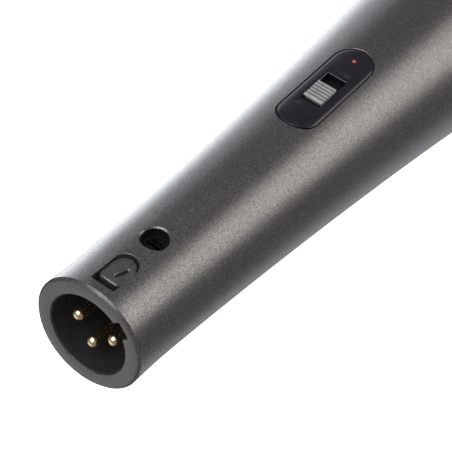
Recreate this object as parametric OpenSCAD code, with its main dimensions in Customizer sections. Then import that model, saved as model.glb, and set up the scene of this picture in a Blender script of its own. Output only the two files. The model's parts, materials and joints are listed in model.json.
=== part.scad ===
// Handheld dynamic vocal microphone with an on/off slide switch.
// It lies along +X: the cable end face is at x = 0 and the grille is at the far end.
// +Z is the side with the switch, the latch window and the insert's locking screw.

/* [Handle] */
// Radius that the taper would have at the tail face
tail_r = 11.05; // [10.9:0.05:11.3]
// Growth of the radius per millimetre of length, at the tail
taper = 0.032; // [0.025:0.001:0.036]
// Extra flare towards the neck, per square millimetre
flare = 0.0003; // [0.0002:0.00005:0.0004]
// Distance from the tail face to the shoulder at the neck
neck_x = 114; // [112:1:118]
// Thickness of the cast wall
wall = 2.4; // [2.2:0.1:2.6]
// Radius of the rim around the tail face
rim_r = 11.45; // [11.3:0.05:11.5]

/* [Cable socket] */
// Radius of the metal mouth of the socket
mouth_r = 8.3; // [8.2:0.05:8.35]
// Depth of the metal mouth, in front of the plastic insert
mouth_depth = 0.6; // [0.5:0.1:1.2]
// Radius of the plastic lining of the socket
lining_r = 8.1; // [8.05:0.05:8.15]
// Distance from the tail face to the floor of the socket
socket_depth = 13.8; // [13:0.1:15]
// Outer radius of the insert
insert_r = 9.25; // [9.2:0.05:9.3]
// Radius of each contact pin
pin_r = 1.2; // [1.15:0.05:1.25]
// Radius of the circle that the contact pins stand on
pin_circle_r = 4; // [3.9:0.05:4.1]
// How far the tips of the pins sit inside the tail face
pin_recess = 1.5; // [1.4:0.1:2]
// How far the three pins are turned from the top line
pin_turn = 4; // [0:1:5]
// Angle of the keyway from the top line
keyway_angle = 47; // [45:1:55]
// Width of the keyway
keyway_w = 3.4; // [3:0.1:3.5]

/* [Latch window and locking screw] */
// Distance from the tail face to the straight side of the latch window
latch_x = 2.3; // [2.2:0.1:2.6]
// Length of the latch window along the handle
latch_len = 8.7; // [8:0.1:9]
// Width of the latch window
latch_w = 5.1; // [5:0.1:5.4]
// How deep the latch tab sits below the handle's surface
latch_recess = 0.8; // [0.6:0.1:0.9]
// Distance from the tail face to the centre of the screw hole
screw_x = 16.8; // [16.4:0.1:17]
// Radius of the outer part of the screw hole
screw_hole_r = 2.65; // [2.5:0.05:2.7]
// Radius of the locking screw
screw_r = 1.75; // [1.7:0.05:1.8]

/* [Switch] */
// Distance from the tail face to the centre of the switch plate
switch_x = 70.15; // [69:0.05:71]
// Length of the switch plate
plate_len = 26.8; // [26.8:0.1:27.2]
// Width of the switch plate
plate_w = 8.65; // [8.5:0.05:8.8]
// Distance from the plate's middle to the tail end of its slot
slot_tail = 5.45; // [5.3:0.05:5.5]
// Length of the slot in the plate
slot_len = 9.5; // [9.4:0.1:9.6]
// Width of the slot in the plate
slot_w = 4.5; // [4.4:0.1:4.8]
// Length of the knob
knob_len = 5.3; // [5.2:0.1:5.4]
// Width of the knob
knob_w = 4.2; // [3.9:0.05:4.2]
// Number of ridges across the knob
knob_ridges = 6; // [5:1:7]
// Travel of the switch from off to on
switch_travel = 3.2; // [3:0.1:3.3]

/* [Capsule] */
// Outer radius of the capsule's stem
stem_r = 11.6; // [11.4:0.1:11.8]
// Outer radius of the capsule's head
head_r = 14.6; // [14.4:0.1:14.8]
// Outer radius of the magnet's steel cup
yoke_r = 11; // [10.8:0.1:11.2]
// Radius of the magnet
magnet_r = 5.6; // [5.4:0.1:5.7]

/* [Grille] */
// Radius of the grille's mesh at its widest
ball_r = 25.4; // [25:0.1:26]
// Height of the domed end above the band
dome_h = 23; // [21:0.5:25]
// Width of the band around the middle of the grille
band_w = 4.6; // [4:0.1:5.5]
// Thickness of the grille's mesh
mesh_t = 0.8; // [0.6:0.1:1]
// Thickness of the foam lining
foam_t = 3; // [2.5:0.5:3.5]

/* [Hidden] */
$fn = 96;
eps = 0.01;

cast_grey = [0.36, 0.35, 0.36];
black_plastic = [0.06, 0.06, 0.07];
gold = [0.85, 0.68, 0.36];
steel = [0.7, 0.7, 0.72];

// Radius of the handle's outer surface at distance x from the tail face
function body_r(x) = tail_r + taper * x + flare * x * x;
// Slope of the handle's outer surface at the switch, in degrees
switch_slope = atan(taper + 2 * flare * switch_x);

// Tail rim
rim_round = 0.6;
rim_land = 1.0;
rim_end = 1.9;
mouth_chamfer = 0.35;
keyway_r = 9.8;
keyway_depth = 9;

// Insert and contacts
insert_bore_r = insert_r + 0.1;
insert_end = 21;
pin_shoulder_r = 1.5;
pin_shoulder_end = 20;
cup_r = 1.3;
cup_end = 25.5;
cup_hole_r = 0.75;
cup_hole_depth = 3;

// Locking screw, counted from the microphone's axis
screw_ledge_z = 9.75;
screw_pass_r = 2;
screw_top_z = 9.6;
screw_bottom_z = 5.8;

// Switch, in its own frame: z = 0 is the handle's surface at the switch's middle
surface_r = body_r(switch_x);
pocket_gap = 0.25;
pocket_depth = 1.55;
plate_drop = 0.05;
window_len = 24.4;
window_w = 6.6;
boss_x = 10.6;
boss_r = 1.3;
boss_end = 3.45;
can_len = 14;
can_w = 6.4;
can_wall = 0.4;
can_depth = 5.2;
ear_t = 0.5;
ear_len = 25.4;
can_end = boss_end + ear_t + can_depth;
knob_centre = knob_len / 2 - slot_tail + 0.6;
marker_x = 9.85;
terminal_pitch = 3.6;
terminal_side = 1.5;

// Neck and capsule
spigot_r = 16.5;
spigot_bore_r = 14.4;
spigot_len = 6;
spigot_end = neck_x + spigot_len;
spigot_bore_x = neck_x - 4;
capsule_tail_x = neck_x - 16;
head_x = neck_x + 10;
head_end = neck_x + 24;
stem_wall = 1.2;
head_wall = 1.4;
yoke_end = head_x + 7;
coil_r = 6.2;
coil_t = 0.5;
cone_x = head_x + 11.2;

// Grille
collar_gap = 0.1;
thread_clearance = 0.08;
collar_end = neck_x + 7.2;
ball_x = neck_x + 24.6;
band_x = ball_x - 0.6;
dome_x = band_x + band_w;
liner_gap = 0.35;

// Turns the z axis of its children onto the microphone's axis, x onto +Y and y onto +Z
module along_axis() {
    rotate([90, 0, 90]) children();
}

// Solid of revolution about the microphone's axis, from points [radius, x]
module lathe(points) {
    along_axis() rotate_extrude() polygon(points);
}

// Ring or disc about the microphone's axis between two distances from the tail face
module ring(r_out, r_in, x0, x1) {
    lathe([[r_in, x0], [r_out, x0], [r_out, x1], [r_in, x1]]);
}

// Points [radius, x] along an ellipse about the axis point x = centre
function arc(centre, half_x, half_r, from, to, steps) =
    [for (i = [0:steps])
        let (a = from + (to - from) * i / steps)
        [half_r * cos(a), centre + half_x * sin(a)]];

// Prism with two straight sides and two round ends, its ends on the x axis
module stadium(len, w, h) {
    linear_extrude(h) {
        square([len - w, w], center = true);
        for (side = [-1, 1]) translate([side * (len - w) / 2, 0]) circle(d = w);
    }
}

// Moves its children from the switch's frame onto the handle
module at_switch() {
    translate([switch_x, 0, surface_r]) rotate([0, -switch_slope, 0]) children();
}

// Outline of the latch window: straight towards the tail, round towards the head
module latch_outline(x0, margin) {
    straight = latch_x + latch_len - latch_w / 2;
    half = latch_w / 2 - margin;
    translate([x0, -half]) square([straight - x0, 2 * half]);
    translate([straight, 0]) circle(half);
}

// Keyway cut along the mouth of the socket
module keyway_cut() {
    along_axis() rotate([0, 0, keyway_angle]) translate([-keyway_w / 2, mouth_r - 1, -1])
        cube([keyway_w, keyway_r - mouth_r + 1, keyway_depth + 1]);
}

// ---------------------------------------------------------------- handle

module handle() {
    outer_steps = 16;
    outer = [for (i = [0:outer_steps])
        let (x = rim_end + (neck_x - rim_end) * i / outer_steps)
        [body_r(x), x]];
    inner_from = 30;
    inner_steps = 10;
    inner = [for (i = [inner_steps:-1:0])
        let (x = inner_from + (spigot_bore_x - inner_from) * i / inner_steps)
        [body_r(x) - wall, x]];
    rim_edge = [for (a = [0:22.5:90])
        [rim_r - rim_round + rim_round * sin(a), rim_round - rim_round * cos(a)]];
    color(cast_grey) difference() {
        lathe(concat(
            [[mouth_r, mouth_chamfer], [mouth_r + mouth_chamfer, 0]],
            rim_edge,
            [[rim_r, rim_land]],
            outer,
            [[spigot_r, neck_x], [spigot_r, spigot_end - 0.4], [spigot_r - 0.4, spigot_end],
             [spigot_bore_r, spigot_end], [spigot_bore_r, spigot_bore_x]],
            inner,
            [[insert_bore_r, 24], [insert_bore_r, mouth_depth], [mouth_r, mouth_depth]]));
        keyway_cut();
        // Latch window
        linear_extrude(2 * rim_r) latch_outline(latch_x, 0);
        // Screw hole, its ledge and its bevelled edge
        translate([screw_x, 0, 0]) {
            cylinder(r = screw_pass_r, h = 2 * rim_r);
            translate([0, 0, screw_ledge_z]) cylinder(r = screw_hole_r, h = rim_r);
            translate([0, 0, body_r(screw_x) - 0.45])
                cylinder(r1 = screw_hole_r, r2 = screw_hole_r + 0.7, h = 0.7);
        }
        // Pocket and window for the switch
        at_switch() {
            translate([0, 0, -pocket_depth])
                stadium(plate_len + 2 * pocket_gap, plate_w + 2 * pocket_gap, 2 * pocket_depth);
            translate([0, 0, -2.5 * wall]) stadium(window_len, window_w, 3 * wall);
        }
    }
}

// ---------------------------------------------------------------- cable socket

module xlr_insert() {
    color(black_plastic) difference() {
        lathe([[lining_r, mouth_depth], [insert_r, mouth_depth], [insert_r, insert_end],
               [0, insert_end], [0, socket_depth], [lining_r, socket_depth]]);
        keyway_cut();
        for (turn = [0, 180, 270])
            along_axis() rotate([0, 0, turn + pin_turn]) translate([pin_circle_r, 0, 0]) {
                translate([0, 0, socket_depth - 1])
                    cylinder(r = pin_shoulder_r, h = pin_shoulder_end - socket_depth + 1);
                cylinder(r = pin_r, h = 2 * insert_end);
            }
        // Threaded hole for the locking screw
        translate([screw_x, 0, screw_bottom_z - 0.4]) cylinder(r = screw_r, h = insert_r);
    }
}

// One contact, at an angle around the axis from +Y towards +Z: a round-tipped pin, a
// shoulder in the insert and a solder cup behind it
module contact_pin(angle) {
    tip = pin_recess;
    y = pin_circle_r * cos(angle + pin_turn);
    z = pin_circle_r * sin(angle + pin_turn);
    tip_points = [for (a = [0:15:90]) [pin_r * sin(a), tip + pin_r * (1 - cos(a))]];
    color(gold) difference() {
        translate([0, y, z]) lathe(concat(
            tip_points,
            [[pin_r, socket_depth], [pin_shoulder_r, socket_depth],
             [pin_shoulder_r, pin_shoulder_end], [pin_r, pin_shoulder_end],
             [pin_r, insert_end + 0.5], [cup_r, insert_end + 0.5], [cup_r, cup_end],
             [cup_hole_r, cup_end], [cup_hole_r, cup_end - cup_hole_depth],
             [0, cup_end - cup_hole_depth]]));
        // Open side of the solder cup
        translate([cup_end - cup_hole_depth, y - cup_hole_r, z])
            cube([cup_hole_depth + 1, 2 * cup_hole_r, 2 * cup_r]);
    }
}

module contact_pin_1() contact_pin(180);
module contact_pin_2() contact_pin(0);
module contact_pin_3() contact_pin(270);

// Spring strip from pin 1 to the inside of the handle
module ground_clip() {
    strip_t = 0.35;
    strip_w = 3.6;
    leaf_len = 2.6;
    color(steel) translate([insert_end, 0, 0]) rotate([pin_turn, 0, 0]) difference() {
        union() {
            along_axis() translate([-pin_circle_r, 0, 0]) cylinder(r = 2.1, h = strip_t);
            translate([0, -insert_r + 0.05, -strip_w / 2])
                cube([strip_t, insert_r - pin_circle_r, strip_w]);
            translate([0, -insert_r + 0.3, -strip_w / 2]) cube([leaf_len, strip_t, strip_w]);
        }
        along_axis() translate([-pin_circle_r, 0, -1]) cylinder(r = cup_r + 0.05, h = 4);
        // Corners trimmed to the bore
        translate([-1, 0, 0]) along_axis() difference() {
            cylinder(r = 3 * insert_r, h = 6);
            translate([0, 0, -1]) cylinder(r = insert_bore_r - 0.02, h = 8);
        }
    }
}

module locking_screw() {
    slot_w = 0.6;
    slot_depth = 0.7;
    color(steel) translate([screw_x, 0, 0]) difference() {
        union() {
            translate([0, 0, screw_bottom_z])
                cylinder(r = screw_r, h = screw_top_z - screw_bottom_z - 0.25);
            translate([0, 0, screw_top_z - 0.25])
                cylinder(r1 = screw_r, r2 = screw_r - 0.25, h = 0.25);
        }
        translate([-screw_r - 1, -slot_w / 2, screw_top_z - slot_depth])
            cube([2 * screw_r + 2, slot_w, 1]);
    }
}

// Tab that fills the latch window, below the surface of the handle
module latch_tab() {
    tail_gap = 1.65;
    mark_len = 2.7;
    mark_w = 0.55;
    mark_depth = 0.5;
    mark_angle = -18;
    top_r = body_r(latch_x + latch_len / 2) - latch_recess;
    color(cast_grey) difference() {
        intersection() {
            linear_extrude(2 * rim_r) latch_outline(latch_x + tail_gap, 0.1);
            translate([-1, 0, 0]) along_axis() cylinder(r = top_r, h = 20);
        }
        translate([-1, 0, 0]) along_axis() cylinder(r = insert_bore_r, h = 20);
        // Slanted slot in the tab
        translate([6.9, -0.8, top_r - mark_depth]) rotate([0, 0, mark_angle])
            translate([-mark_len / 2, -mark_w / 2, 0]) cube([mark_len, mark_w, 2]);
    }
}

// ---------------------------------------------------------------- switch

module switch_plate() {
    slot_x = slot_len / 2 - slot_tail;
    dish_len = slot_len + 4.4;
    dish_w = slot_w + 1.6;
    dish_depth = 0.25;
    color(black_plastic) at_switch() difference() {
        union() {
            intersection() {
                translate([0, 0, -pocket_depth]) stadium(plate_len, plate_w, 2 * pocket_depth);
                translate([-plate_len, 0, -surface_r]) rotate([0, 90, 0])
                    cylinder(r = surface_r - plate_drop, h = 2 * plate_len);
            }
            for (side = [-1, 1]) translate([side * boss_x, 0, -boss_end])
                cylinder(r = boss_r, h = boss_end - pocket_depth + eps);
        }
        // Slot for the knob, with a shallow dish around it
        translate([slot_x - slot_len / 2, -slot_w / 2, -5]) cube([slot_len, slot_w, 10]);
        translate([slot_x, 0, -plate_drop - dish_depth]) stadium(dish_len, dish_w, 3);
        // Hole for the marker
        translate([marker_x, 0, -1.2]) cylinder(r = 0.45, h = 3);
        // Holes for the screws that hold the switch
        for (side = [-1, 1]) translate([side * boss_x, 0, -boss_end - 1])
            cylinder(r = 0.7, h = boss_end - 0.7);
    }
}

module switch_marker() {
    color([0.75, 0.12, 0.1]) at_switch() translate([marker_x, 0, -1.2]) {
        cylinder(r = 0.45, h = 1.15);
        translate([0, 0, 1.15]) cylinder(r1 = 0.45, r2 = 0.25, h = 0.12);
    }
}

module switch_knob() {
    top = 0.35;
    ridge_h = 0.35;
    foot = 1.45;
    pitch = knob_len / knob_ridges;
    color([0.62, 0.62, 0.62]) at_switch() difference() {
        translate([knob_centre - knob_len / 2, knob_w / 2, 0]) rotate([90, 0, 0])
            linear_extrude(knob_w) polygon(concat(
                [[0, -foot], [0, top - ridge_h]],
                [for (i = [0:knob_ridges - 1], p = [[0.22, 1], [0.62, 1], [1, 0]])
                    [(i + p[0]) * pitch, top - ridge_h + ridge_h * p[1]]],
                [[knob_len, -foot]]));
        translate([knob_centre - 1.5, -1, -foot - 1]) cube([3, 2, 1.8]);
    }
}

// Dust shield that keeps the slot closed as the knob moves
module switch_shield() {
    shield_tail = 8.95;
    shield_head = 4.5;
    shield_w = 5.6;
    color(black_plastic) at_switch() difference() {
        translate([-shield_tail, -shield_w / 2, -2.3])
            cube([shield_tail + shield_head, shield_w, 0.4]);
        translate([knob_centre - 1.5, -1, -3]) cube([3, 2, 2]);
    }
}

module switch_carriage() {
    post_top = -0.7;
    block_len = 7.2;
    block_top = -boss_end - ear_t - 0.1;
    color(black_plastic) at_switch() {
        translate([knob_centre - 1.45, -0.95, block_top - eps])
            cube([2.9, 1.9, post_top - block_top + eps]);
        translate([knob_centre - block_len / 2, -2.6, block_top - 2.2])
            cube([block_len, 5.2, 2.2]);
    }
}

// Pair of bridging contacts under the carriage
module switch_contact() {
    contact_top = -boss_end - ear_t - 2.3;
    color(gold) at_switch() for (side = [-1, 1])
        translate([knob_centre - 2.6, side * terminal_side - 0.5, contact_top - 0.4])
            cube([5.2, 1, 0.4]);
}

// Pressed steel can of the slide switch, with an ear at each end for its screw
module switch_can() {
    color(steel) at_switch() difference() {
        union() {
            translate([0, 0, -boss_end - ear_t]) stadium(ear_len, can_w, ear_t);
            translate([-can_len / 2, -can_w / 2, -can_end])
                cube([can_len, can_w, can_depth + ear_t]);
        }
        translate([-can_len / 2 + can_wall, -can_w / 2 + can_wall, -can_end - 1])
            cube([can_len - 2 * can_wall, can_w - 2 * can_wall, can_depth + 1]);
        translate([knob_centre - 1.9, -1.3, -boss_end - 1]) cube([7, 2.6, 2]);
        for (side = [-1, 1]) translate([side * boss_x, 0, -boss_end - 1])
            cylinder(r = 0.9, h = 2);
    }
}

// Insulating base that closes the can
module switch_base() {
    color([0.45, 0.28, 0.14]) at_switch() difference() {
        translate([-can_len / 2 + can_wall, -can_w / 2 + can_wall, -can_end])
            cube([can_len - 2 * can_wall, can_w - 2 * can_wall, 0.9]);
        for (i = [-1:1], side = [-1, 1])
            translate([i * terminal_pitch - 0.7, side * terminal_side - 0.25, -can_end - 1])
                cube([1.4, 0.5, 4]);
    }
}

module switch_terminals() {
    blade_len = 3.4;
    head_h = 1.1;
    color(gold) at_switch() for (i = [-1:1], side = [-1, 1])
        translate([i * terminal_pitch, side * terminal_side, -can_end]) {
            translate([-0.7, -0.25, -blade_len]) cube([1.4, 0.5, blade_len + 0.9 + eps]);
            translate([-1.1, -0.5, 0.9]) cube([2.2, 1, head_h]);
        }
}

module switch_screws() {
    head_h = 0.9;
    color(steel) at_switch() for (side = [-1, 1])
        translate([side * boss_x, 0, -boss_end - ear_t]) difference() {
            union() {
                translate([0, 0, -head_h]) cylinder(r = 1.4, h = head_h);
                translate([0, 0, -eps]) cylinder(r = 0.68, h = 2.2);
            }
            translate([-0.2, -2, -head_h - eps]) cube([0.4, 4, 0.45]);
        }
}

// ---------------------------------------------------------------- wires

// Smooth curve through a list of points, with a number of steps between each pair
function between(p0, p1, p2, p3, t) =
    0.5 * (2 * p1 + (p2 - p0) * t + (2 * p0 - 5 * p1 + 4 * p2 - p3) * t * t
        + (3 * p1 - p0 - 3 * p2 + p3) * t * t * t);
function curve(p, steps) = let (last = len(p) - 1)
    concat([for (i = [0:last - 1], s = [0:steps - 1])
        between(p[max(i - 1, 0)], p[i], p[i + 1], p[min(i + 2, last)], s / steps)], [p[last]]);
function unit(v) = v / norm(v);

// Round wire of radius r along a list of points
module wire(route, r) {
    sides = 8;
    p = curve(route, 4);
    last = len(p) - 1;
    rings = [for (i = [0:last])
        let (t = unit(p[min(i + 1, last)] - p[max(i - 1, 0)]),
             u = unit(cross(t, [0, 1, 0.05])),
             v = cross(t, u))
        for (k = [0:sides - 1]) p[i] + r * (cos(k * 360 / sides) * u + sin(k * 360 / sides) * v)];
    skin = [for (i = [0:last - 1], k = [0:sides - 1])
        [i * sides + k, i * sides + (k + 1) % sides,
         (i + 1) * sides + (k + 1) % sides, (i + 1) * sides + k]];
    ends = [[for (k = [sides - 1:-1:0]) k], [for (k = [0:sides - 1]) last * sides + k]];
    polyhedron(rings, concat(skin, ends), convexity = 6);
}

wire_r = 0.5;
pin_2_route = [[23, 4, 0.3], [28, 4, 0], [36, 4.6, -2], [46, 4.2, -3.4], [56, 3, -3],
    [63, 2.2, -0.6], [66.2, 2, 1.1], [66.8, 2.1, 1.95]];
pin_3_route = [[23, 0.3, -4], [28, 0.2, -4.3], [36, -1, -5.4], [46, -2.4, -5.2], [56, -3, -3.6],
    [63, -2.2, -0.8], [66.2, -2, 1], [66.8, -2.1, 1.9]];
hot_route = [[71.6, 2.3, 1.8], [73, 2.6, 0.2], [78, 3.4, -1.6], [85, 4.4, -2.4], [91, 4.6, -1.4],
    [95.5, 4.2, -0.4], [96.4, 4, -0.1]];
cold_route = [[71.6, -2.3, 1.8], [73, -2.6, 0.2], [78, -3.4, -1.9], [85, -4.4, -2.8], [91, -4.6, -1.8],
    [95.5, -4.2, -0.4], [96.4, -4, -0.1]];

module wire_pin_2() color([0.75, 0.1, 0.1]) wire(pin_2_route, wire_r);
module wire_pin_3() color(black_plastic) wire(pin_3_route, wire_r);
module wire_capsule_hot() color([0.75, 0.1, 0.1]) wire(hot_route, wire_r);
module wire_capsule_cold() color(black_plastic) wire(cold_route, wire_r);

// ---------------------------------------------------------------- capsule

// Rubber bush that carries the capsule in the mouth of the handle
module shock_mount() {
    groove = 0.9;
    bore_r = stem_r + 0.03;
    color([0.1, 0.1, 0.1]) lathe([
        [bore_r, neck_x - 8], [spigot_bore_r - 1.4, neck_x - 8], [spigot_bore_r - 0.05, neck_x - 3.6],
        [spigot_bore_r - 0.05, neck_x - 1], [spigot_bore_r - groove, neck_x],
        [spigot_bore_r - groove, neck_x + 2], [spigot_bore_r - 0.05, neck_x + 3],
        [spigot_bore_r - 0.05, spigot_end], [spigot_r - 0.5, spigot_end],
        [spigot_r - 0.5, spigot_end + 1], [spigot_r - 1, spigot_end + 1.5],
        [bore_r, spigot_end + 1.5]]);
}

module capsule_housing() {
    vent_w = 2.4;
    color(black_plastic) difference() {
        lathe([
            [stem_r - stem_wall, capsule_tail_x], [stem_r, capsule_tail_x], [stem_r, head_x - 1.6],
            [head_r, head_x - 0.6], [head_r, head_end], [head_r - head_wall, head_end],
            [head_r - head_wall, head_x + 1], [yoke_r - 2, head_x + 1], [yoke_r - 2, head_x],
            [stem_r - stem_wall, head_x - 1.2]]);
        // Rear vents that make the capsule directional
        for (i = [0:7]) rotate([45 * i + 22.5, 0, 0])
            translate([head_x + 2.5, -vent_w / 2, head_r - head_wall - 1]) cube([5, vent_w, 4]);
    }
}

// Board that closes the tail of the capsule and carries its two terminals
module terminal_board() {
    board_r = stem_r - stem_wall - 0.05;
    color([0.45, 0.28, 0.14]) difference() {
        ring(board_r, 1, capsule_tail_x, capsule_tail_x + 1.4);
        for (side = [-1, 1]) along_axis() translate([4 * side, 0, 0]) cylinder(r = 0.6, h = 200);
    }
}

module capsule_terminals() {
    color(gold) for (side = [-1, 1]) translate([0, 4 * side, 0]) {
        ring(0.6, 0, capsule_tail_x - 1, capsule_tail_x + 1.4);
        ring(1.2, 0, capsule_tail_x + 1.4, capsule_tail_x + 1.9);
        ring(1.2, 0, capsule_tail_x - 0.6, capsule_tail_x);
    }
}

module yoke_cup() {
    color(steel) lathe([
        [0, head_x + 1], [yoke_r, head_x + 1], [yoke_r, yoke_end], [yoke_r - 2.2, yoke_end],
        [yoke_r - 2.2, head_x + 2.6], [0, head_x + 2.6]]);
}

module magnet() {
    color([0.35, 0.35, 0.37]) ring(magnet_r, 0, head_x + 2.6, head_x + 6);
}

module pole_piece() {
    color(steel) ring(coil_r - 0.25, 0, head_x + 6, head_x + 8.6);
}

module front_plate() {
    color(steel) ring(yoke_r, coil_r + coil_t + 0.25, yoke_end, yoke_end + 1.6);
}

module voice_coil() {
    color([0.72, 0.4, 0.2]) ring(coil_r + coil_t, coil_r, head_x + 6.8, cone_x);
}

// Thin dome with a shallow rolled edge, glued to the coil
module diaphragm() {
    film = 0.15;
    dome_half = 1.7;
    dome_r = coil_r + coil_t;
    edge_r = head_r - head_wall - 1.1;
    roll = (edge_r - dome_r) / 2;
    front = concat(
        arc(cone_x + film, dome_half, dome_r, 90, 0, 8),
        [for (a = [165:-15:15]) [dome_r + roll * (1 + cos(a)), cone_x + film + 0.7 * sin(a)]],
        [[edge_r, cone_x + film]]);
    back = concat(
        [[edge_r, cone_x]],
        [for (a = [15:15:165]) [dome_r + roll * (1 + cos(a)), cone_x + 0.7 * sin(a)]],
        arc(cone_x, dome_half, dome_r, 0, 90, 8));
    color([0.8, 0.75, 0.6]) lathe(concat(front, back));
}

module diaphragm_ring() {
    ring_r = head_r - head_wall - 0.03;
    color(black_plastic) ring(ring_r, ring_r - 0.85, yoke_end + 1.6, cone_x + 0.6);
}

// Perforated cap over the diaphragm
module resonator_cap() {
    hole_r = 1.1;
    color(black_plastic) difference() {
        lathe([
            [0, head_end], [head_r, head_end], [head_r, head_end + 0.8],
            [head_r - 0.6, head_end + 1.4], [0, head_end + 1.4]]);
        for (row = [1:3], i = [0:6 * row - 1]) rotate([60 * i / row, 0, 0])
            translate([head_end - 1, 0, 3.6 * row]) rotate([0, 90, 0]) cylinder(r = hole_r, h = 4);
    }
}

module capsule_screen() {
    color([0.2, 0.2, 0.2]) ring(head_r - 0.8, 0, head_end + 1.4, head_end + 1.8);
}

// ---------------------------------------------------------------- grille

// Foam lining of the grille, open towards the handle
module foam_liner() {
    out_r = ball_r - mesh_t - liner_gap;
    in_r = out_r - foam_t;
    mouth = -45;
    color([0.12, 0.12, 0.12]) lathe(concat(
        arc(ball_x, out_r, out_r, mouth, 0, 10),
        arc(dome_x, dome_h - mesh_t - liner_gap, out_r, 0, 90, 14),
        arc(dome_x, dome_h - mesh_t - liner_gap - foam_t, in_r, 90, 0, 14),
        arc(ball_x, in_r, in_r, 0, mouth, 10)));
}

// Ring that screws onto the neck and carries the mesh
module grille_collar() {
    x0 = neck_x + collar_gap;
    out_r = body_r(neck_x);
    color(cast_grey) lathe([
        [spigot_r + thread_clearance, x0], [out_r - 0.3, x0], [out_r, x0 + 0.3],
        [out_r + 0.9, collar_end - 1.2], [out_r + 0.7, collar_end - 0.4], [out_r + 0.3, collar_end],
        [spigot_r + thread_clearance, collar_end]]);
}

function mesh_foot() = -acos((body_r(neck_x) - 0.1) / ball_r);

module grille_lower() {
    in_r = ball_r - mesh_t;
    foot = mesh_foot();
    color([0.5, 0.5, 0.5]) lathe(concat(
        [[ball_r * cos(foot) - 1.2, collar_end], [ball_r * cos(foot), collar_end]],
        arc(ball_x, ball_r, ball_r, foot, asin(-0.6 / ball_r), 12),
        arc(ball_x, in_r, in_r, asin(-0.6 / in_r), foot, 12)));
}

module grille_band() {
    proud = 0.7;
    inner = ball_r - mesh_t;
    color([0.5, 0.5, 0.5]) lathe([
        [inner, band_x], [ball_r, band_x], [ball_r + proud, band_x + 0.6],
        [ball_r + proud, dome_x - 0.6], [ball_r, dome_x], [inner, dome_x]]);
}

module grille_upper() {
    color([0.5, 0.5, 0.5]) lathe(concat(
        arc(dome_x, dome_h, ball_r, 0, 90, 16),
        arc(dome_x, dome_h - mesh_t, ball_r - mesh_t, 90, 0, 16)));
}

// ---------------------------------------------------------------- nodes

handle();
xlr_insert();
contact_pin_1();
contact_pin_2();
contact_pin_3();
ground_clip();
locking_screw();
latch_tab();
switch_plate();
switch_marker();
switch_knob();
switch_shield();
switch_carriage();
switch_contact();
switch_can();
switch_base();
switch_terminals();
switch_screws();
wire_pin_2();
wire_pin_3();
wire_capsule_hot();
wire_capsule_cold();
shock_mount();
capsule_housing();
terminal_board();
capsule_terminals();
yoke_cup();
magnet();
pole_piece();
front_plate();
voice_coil();
diaphragm();
diaphragm_ring();
resonator_cap();
capsule_screen();
foam_liner();
grille_collar();
grille_lower();
grille_band();
grille_upper();
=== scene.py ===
"""Looks of the handheld dynamic microphone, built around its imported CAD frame.

The microphone lies along +X with its cable end at x = 0. Lengths in this file are in
millimetres and are turned into metres when a mesh is made.
"""

import json
import math

import bmesh
import bpy
from mathutils import Matrix, Vector


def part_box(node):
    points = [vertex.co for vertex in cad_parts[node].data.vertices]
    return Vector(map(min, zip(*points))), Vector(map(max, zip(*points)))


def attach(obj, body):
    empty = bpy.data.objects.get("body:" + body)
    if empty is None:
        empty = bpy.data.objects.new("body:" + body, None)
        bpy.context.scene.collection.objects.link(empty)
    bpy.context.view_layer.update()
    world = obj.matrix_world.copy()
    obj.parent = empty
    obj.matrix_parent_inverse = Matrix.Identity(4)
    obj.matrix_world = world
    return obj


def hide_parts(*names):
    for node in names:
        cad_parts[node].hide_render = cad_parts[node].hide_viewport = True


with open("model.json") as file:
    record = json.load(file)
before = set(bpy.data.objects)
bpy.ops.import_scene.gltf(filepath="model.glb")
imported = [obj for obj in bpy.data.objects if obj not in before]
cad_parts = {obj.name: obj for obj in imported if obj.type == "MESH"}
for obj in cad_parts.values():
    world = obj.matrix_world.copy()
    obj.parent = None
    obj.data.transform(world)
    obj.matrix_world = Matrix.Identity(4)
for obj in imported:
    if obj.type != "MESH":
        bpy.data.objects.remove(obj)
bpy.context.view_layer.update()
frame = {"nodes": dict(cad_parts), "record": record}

MM = 0.001


def low(node):
    """Lowest corner of a CAD node, in millimetres."""
    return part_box(node)[0] / MM


def high(node):
    """Highest corner of a CAD node, in millimetres."""
    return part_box(node)[1] / MM


# ---------------------------------------------------------------- driving dimensions

# The handle's radius is TAIL_R + TAPER x + FLARE x x, as in the CAD, and swells by
# SWELL over the last SWELL_LEN before the tail
TAIL_R = 11.05
TAPER = 0.032
FLARE = 0.0003
SWELL = 0.41
SWELL_LEN = 12.0
WALL = 2.4

RIM_R = 11.45
BEVEL_DEPTH = 0.48
MOUTH_R = 8.3
MOUTH_DEPTH = 0.6
LINING_R = 8.1
SOCKET_DEPTH = 13.8
INSERT_R = high("xlr_insert").y
INSERT_END = high("xlr_insert").x
PIN_R = 1.2
KEYWAY_ANGLE = math.radians(47)
KEYWAY_W = 3.4
KEYWAY_R = 9.8
KEYWAY_DEPTH = 9.0

LATCH_X = 2.3
LATCH_LEN = 8.7
LATCH_W = 5.1
TAB_TOP = -0.52
SCREW_X = (low("locking_screw").x + high("locking_screw").x) / 2
SCREW_R = (high("locking_screw").x - low("locking_screw").x) / 2
SCREW_HOLE_R = 2.65
SCREW_PASS_R = 2.0

SWITCH_X = 70.15
PLATE_LEN = 26.8
PLATE_W = 8.65
SLOT_TAIL = 5.45
SLOT_LEN = 9.5
SLOT_W = 4.5
SLOT_X = SWITCH_X + SLOT_LEN / 2 - SLOT_TAIL
MARKER_X = (low("switch_marker").x + high("switch_marker").x) / 2
KNOB_LEN = 5.3
KNOB_W = 4.2
KNOB_RIDGES = 6

NECK_X = 114.0
SPIGOT_R = 16.5
SPIGOT_BORE_R = 14.4
BALL_R = high("grille_upper").y
BAND_X = low("grille_band").x
BAND_EDGE = 0.6
BALL_X = BAND_X + BAND_EDGE
DOME_X = low("grille_upper").x
DOME_H = high("grille_upper").x - DOME_X
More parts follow.
